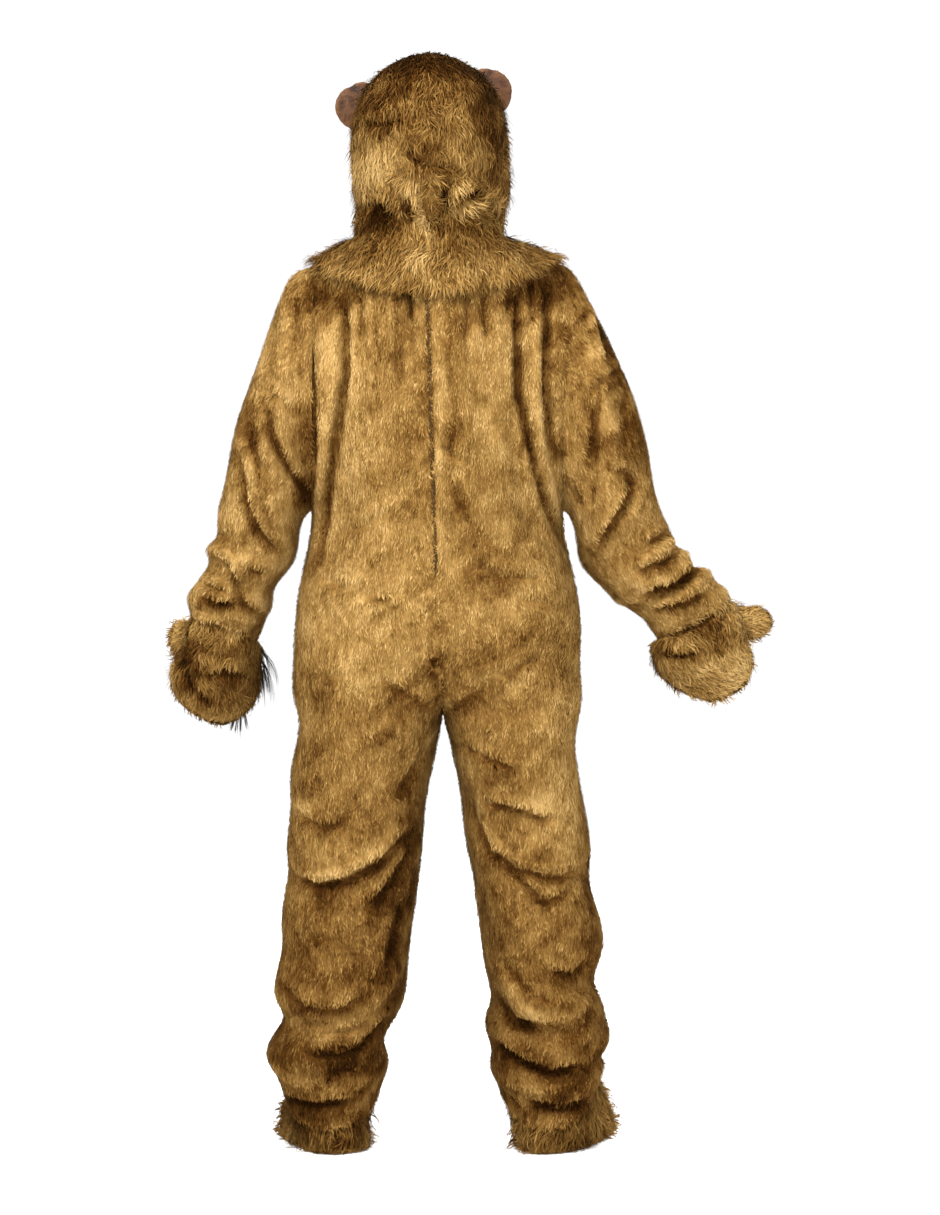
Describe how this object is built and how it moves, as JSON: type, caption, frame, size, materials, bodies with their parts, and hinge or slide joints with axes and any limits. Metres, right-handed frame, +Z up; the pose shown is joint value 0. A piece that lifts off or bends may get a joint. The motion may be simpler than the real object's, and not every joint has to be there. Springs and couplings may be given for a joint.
{
  "type": "bear costume",
  "caption": "Worn bear costume in long brown plush: loose jumpsuit with zip back, masked hood with moulded ears, cape, mittens and shoe covers.",
  "frame": {"origin": "on the wearer's shoulders, midway between them below the neck opening", "axes": "+Z up, the front faces -Y, +X is the wearer's left"},
  "size_m": [1.019, 0.364, 1.809],
  "materials": {
    "plush": "golden brown plush with a soft pile",
    "long_plush": "golden brown plush with a long pile",
    "latex": "moulded brown latex, satin",
    "nose": "moulded black, semi gloss",
    "hair": "long black hair, matt",
    "zip": "woven tape with a brown zip"
  },
  "bodies": {
    "root": {"back_left": "plush", "back_right": "plush", "front_left": "plush", "front_right": "plush", "sleeve_left": "plush", "sleeve_right": "plush", "zip_strip": "zip", "hood_left": "long_plush", "hood_right": "long_plush", "cape": "long_plush", "mitten_back_left": "long_plush", "mitten_palm_left": "long_plush", "thumb_left": "long_plush", "mitten_back_right": "long_plush", "mitten_palm_right": "long_plush", "thumb_right": "long_plush", "shoe_cover_left": "long_plush", "shoe_cover_right": "long_plush", "face_mask": "latex", "ear_left": "latex", "ear_right": "latex", "nose": "nose", "tuft_side": "hair", "tuft_tip": "hair"}
  },
  "joints": []
}
